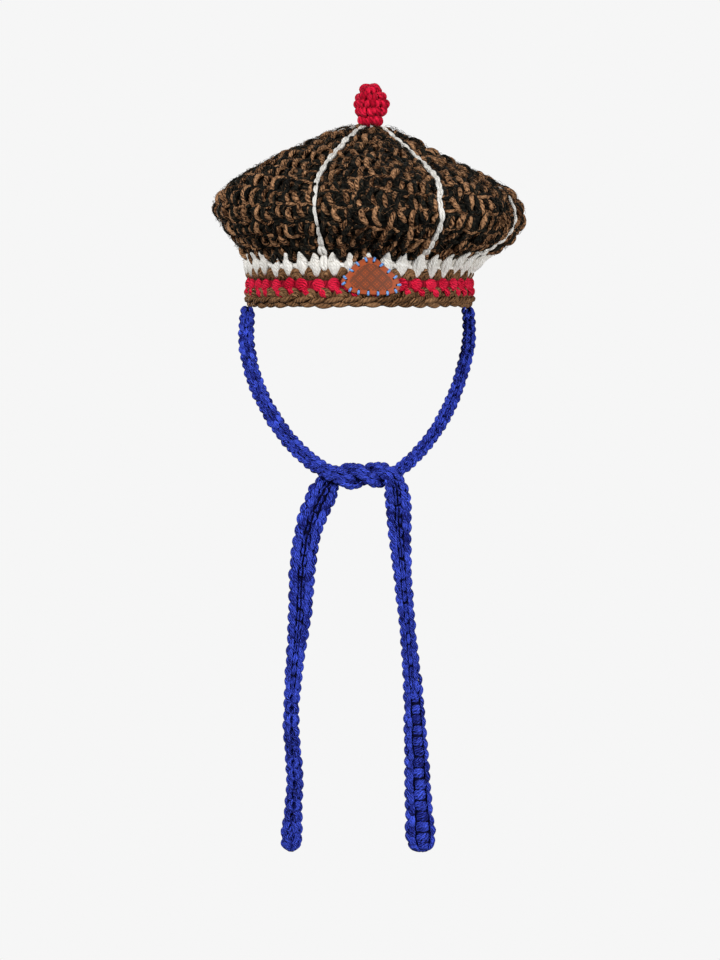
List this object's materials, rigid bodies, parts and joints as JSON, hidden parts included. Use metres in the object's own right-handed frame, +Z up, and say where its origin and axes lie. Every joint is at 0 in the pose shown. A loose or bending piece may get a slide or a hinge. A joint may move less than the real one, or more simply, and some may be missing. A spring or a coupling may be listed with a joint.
{
  "type": "tam o' shanter hat with chin ties",
  "caption": "Child's crocheted tam o' shanter: wide puffed crown with white panel lines, banded edge, red bobble, leather patch and knotted chin ties.",
  "frame": {"origin": "centre of the head opening, in the plane of the rim's lower edge", "axes": "+Z up through the crown to the bobble, -Y towards the front with the patch, +X to the right of someone who looks at the front; the ties hang towards -Z"},
  "size_m": [0.2188, 0.2235, 0.5376],
  "materials": {
    "brown_black_yarn": "chunky crochet, brown and black yarn held together",
    "brown_yarn": "plied brown yarn, crocheted",
    "red_yarn": "plied red yarn, crocheted",
    "white_yarn": "soft white yarn, crocheted",
    "blue_yarn": "plied royal blue yarn, crocheted",
    "leather": "tan leather, tooled, thread-stitched edge"
  },
  "bodies": {
    "root": {"band_rim": "brown_yarn", "band_red_round": "red_yarn", "band_brown_round": "brown_yarn", "band_white_round": "white_yarn", "crown": "brown_black_yarn", "crown_line_1": "white_yarn", "crown_line_2": "white_yarn", "crown_line_3": "white_yarn", "crown_line_4": "white_yarn", "crown_line_5": "white_yarn", "crown_line_6": "white_yarn", "bobble": "red_yarn", "patch": "leather", "tie_left": "blue_yarn", "tie_right": "blue_yarn"}
  },
  "joints": []
}
